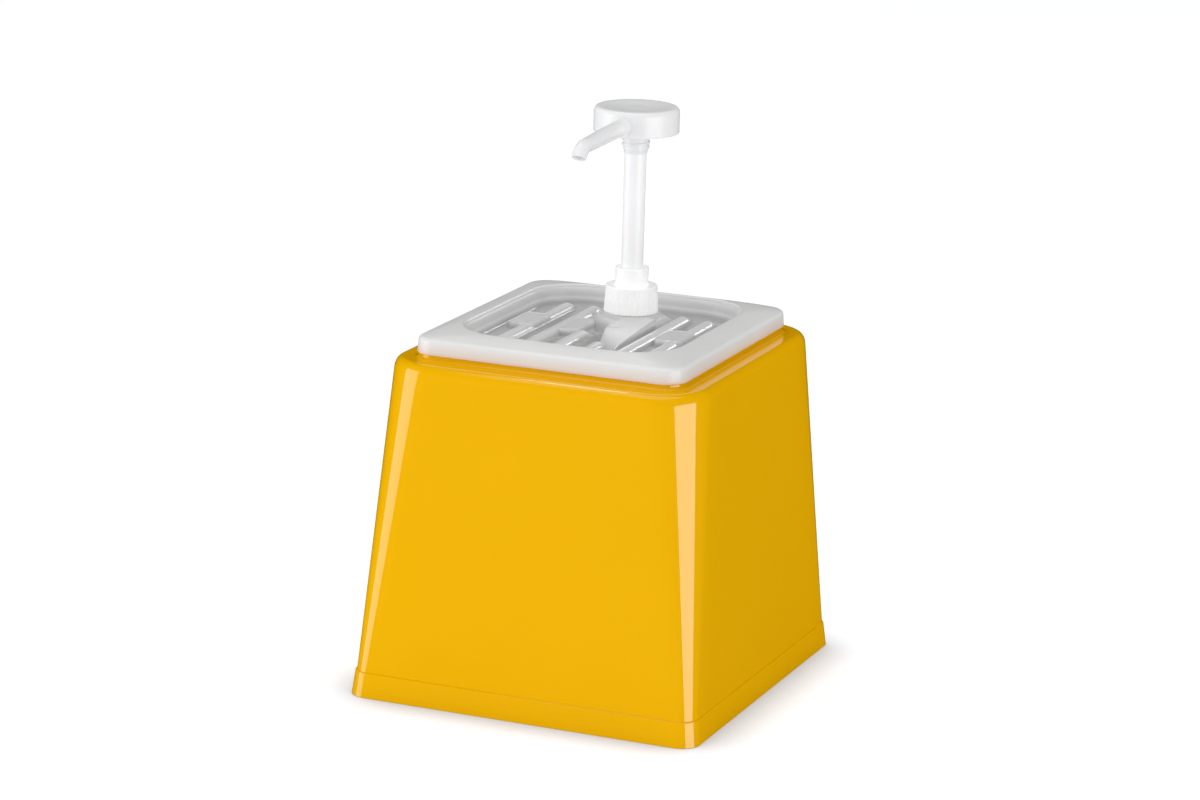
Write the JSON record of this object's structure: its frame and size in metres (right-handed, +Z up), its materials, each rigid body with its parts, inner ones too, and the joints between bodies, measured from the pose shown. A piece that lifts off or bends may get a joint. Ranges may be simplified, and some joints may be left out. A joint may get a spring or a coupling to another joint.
{
  "type": "condiment pump dispenser",
  "caption": "Countertop sauce dispenser: tapered housing with a food pan, a ribbed lid and a tall hand pump with a swivelling spout.",
  "frame": {"origin": "centre of the housing's foot, on the counter", "axes": "+Z up along the pump; -Y is the front, where the spout points; X across the narrow side"},
  "size_m": [0.2122, 0.2268, 0.3257],
  "materials": {
    "housing_plastic": "high gloss yellow",
    "pan_plastic": "natural translucent, satin",
    "lid_plastic": "frosted translucent, satin",
    "pump_plastic": "white, satin gloss",
    "stem_plastic": "natural white, slightly translucent",
    "cylinder_plastic": "natural translucent",
    "seal_rubber": "food-grade, matte",
    "stainless": "bright drawn wire and ground balls"
  },
  "bodies": {
    "housing": {"housing_shell": "housing_plastic"},
    "pan": {"food_container": "pan_plastic"},
    "lid": {"lid": "lid_plastic"},
    "pump_body": {"sealing_washer": "seal_rubber", "pump_cylinder": "cylinder_plastic", "stem_collar": "pump_plastic", "stem_wiper": "seal_rubber", "valve_body": "cylinder_plastic", "ball_cage": "pump_plastic", "return_spring": "stainless", "dip_tube": "cylinder_plastic"},
    "closure": {"screw_cap": "pump_plastic"},
    "piston": {"piston": "pump_plastic", "piston_seal": "seal_rubber", "guide_ring": "pump_plastic"},
    "head": {"stem": "stem_plastic", "outlet_cage": "pump_plastic", "pump_head": "pump_plastic"},
    "inlet_ball": {"inlet_ball": "stainless"},
    "outlet_ball": {"outlet_ball": "stainless"}
  },
  "joints": [
    {"name": "pan_lift", "type": "slide", "parent": "housing", "child": "pan", "axis": [0, 0, 1], "range_m": [0, 0.16]},
    {"name": "lid_lift", "type": "slide", "parent": "pan", "child": "lid", "axis": [0, 0, 1], "range_m": [0, 0.166]},
    {"name": "pump_unscrew_lift", "type": "slide", "parent": "lid", "child": "pump_body", "axis": [0, 0, 1], "range_m": [0, 0.006]},
    {"name": "closure_turn", "type": "hinge", "parent": "pump_body", "child": "closure", "pos_m": [0, 0.04, 0.213], "axis": [0, 0, 1], "range_deg": [0, 720]},
    {"name": "plunger_press", "type": "slide", "parent": "pump_body", "child": "piston", "axis": [0, 0, -1], "range_m": [0, 0.065], "stiffness_N_per_m": 300, "springref_m": -0.02, "deforming": ["return_spring"]},
    {"name": "head_swivel", "type": "hinge", "parent": "piston", "child": "head", "pos_m": [0, 0.04, 0.31], "axis": [0, 0, 1], "continuous": true},
    {"name": "inlet_valve", "type": "slide", "parent": "pump_body", "child": "inlet_ball", "axis": [0, 0, 1], "range_m": [0, 0.0025]},
    {"name": "outlet_valve", "type": "slide", "parent": "piston", "child": "outlet_ball", "axis": [0, 0, 1], "range_m": [0, 0.0025]}
  ],
  "couplings": [
    {"joint": "closure_turn", "follows": "pump_unscrew_lift", "rad_per_m": 2094.4}
  ]
}
